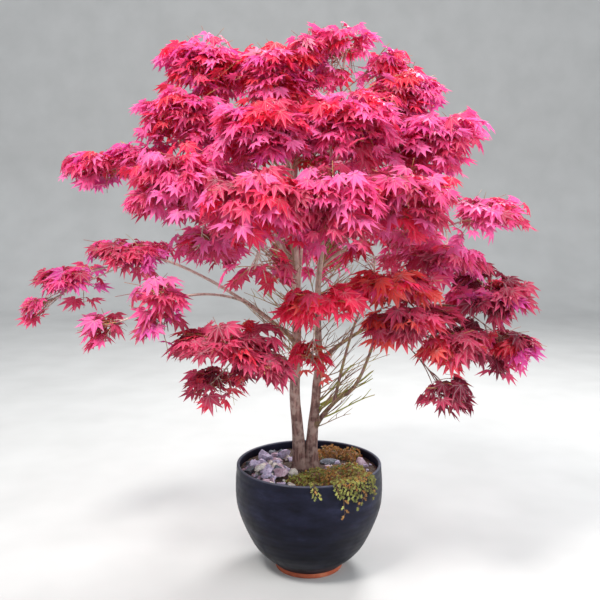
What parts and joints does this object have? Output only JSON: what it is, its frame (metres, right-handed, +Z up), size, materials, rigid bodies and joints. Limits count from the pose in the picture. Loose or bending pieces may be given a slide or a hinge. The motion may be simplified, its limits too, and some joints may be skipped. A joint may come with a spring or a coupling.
{
  "type": "potted japanese maple",
  "caption": "Red-leaved japanese maple with two stems and layered foliage, growing in a dark glazed round pot with gravel and trailing groundcover.",
  "frame": {"origin": "centre of the flat underside of the pot, where it stands on the ground", "axes": "+Z up; the tree's front faces -Y and its long low spray reaches towards -X"},
  "size_m": [1.6738, 1.3108, 1.8081],
  "materials": {
    "glaze": "near-black glaze with a soft sheen and faint throwing rings",
    "terracotta": "unglazed fired clay",
    "soil": "moist potting soil with grit",
    "stone": "rough angular stone, pinkish grey",
    "groundcover": "small fleshy leaves, rust to olive green",
    "bark": "fine-grained greyish pink-brown bark",
    "leaves": "thin leaves, hot pink and crimson, some light shining through"
  },
  "bodies": {
    "root": {"pot": "glaze", "pot_foot": "terracotta", "soil": "soil", "rock_large": "stone", "rock_slab": "stone", "rock_right": "stone", "groundcover_front": "groundcover", "groundcover_back": "groundcover", "trunk": "bark", "left_stem": "bark", "right_stem": "bark", "bough_low_right": "bark", "bough_top_left": "bark", "bough_top_right": "bark", "bough_upper_back": "bark", "bough_upper_left": "bark", "bough_upper_front_left": "bark", "bough_upper_front_right": "bark", "bough_upper_right": "bark", "bough_mid_far_left": "bark", "bough_mid_left": "bark", "bough_mid_front_left": "bark", "bough_mid_front": "bark", "bough_mid_front_right": "bark", "bough_mid_right": "bark", "bough_mid_back_left": "bark", "bough_mid_back_right": "bark", "bough_mid_back": "bark", "bough_low_left_spray": "bark", "bough_low_left_inner": "bark", "bough_skirt_left": "bark", "bough_centre_tuft": "bark", "bough_low_right_inner": "bark", "bough_low_right_skirt": "bark", "bough_low_right_outer": "bark", "leaves_top_peak": "leaves", "leaves_top_centre": "leaves", "leaves_top_left": "leaves", "leaves_top_right": "leaves", "leaves_upper_back": "leaves", "leaves_upper_left": "leaves", "leaves_upper_front_left": "leaves", "leaves_upper_front_right": "leaves", "leaves_upper_right": "leaves", "leaves_mid_far_left": "leaves", "leaves_mid_left": "leaves", "leaves_mid_front_left": "leaves", "leaves_mid_front": "leaves", "leaves_mid_front_right": "leaves", "leaves_mid_right": "leaves", "leaves_mid_back_left": "leaves", "leaves_mid_back_right": "leaves", "leaves_mid_back": "leaves", "leaves_low_left_spray": "leaves", "leaves_low_left_inner": "leaves", "leaves_skirt_left": "leaves", "leaves_centre_tuft": "leaves", "leaves_low_right_inner": "leaves", "leaves_low_right_skirt": "leaves", "leaves_low_right_outer": "leaves"}
  },
  "joints": []
}
